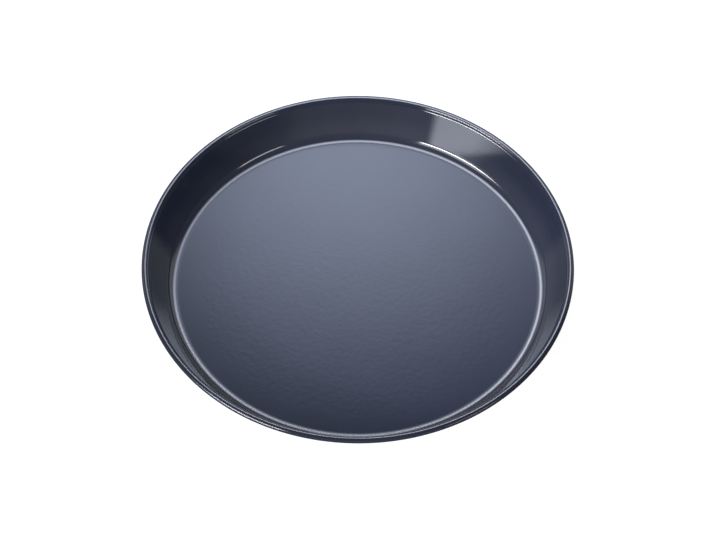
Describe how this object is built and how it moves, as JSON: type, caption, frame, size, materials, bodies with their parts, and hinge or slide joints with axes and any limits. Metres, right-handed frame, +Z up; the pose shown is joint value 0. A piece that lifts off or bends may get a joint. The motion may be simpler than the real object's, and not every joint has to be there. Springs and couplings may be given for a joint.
{
  "type": "pizza pan",
  "caption": "Round deep pizza pan drawn from one steel sheet, with a flat floor, a flared wall and a stepped rolled rim, under glossy dark blue-grey enamel.",
  "frame": {"origin": "centre of the underside, on the surface that the pan stands on", "axes": "+Z up along the axis that the pan is turned about; X and Y are alike, because the pan is round"},
  "size_m": [0.35, 0.35, 0.0325],
  "materials": {
    "bare_steel": "satin",
    "inside_enamel": "gloss",
    "outside_enamel": "gloss"
  },
  "bodies": {
    "root": {"steel_pressing": "bare_steel", "inside_enamel": "inside_enamel", "outside_enamel": "outside_enamel"}
  },
  "joints": []
}
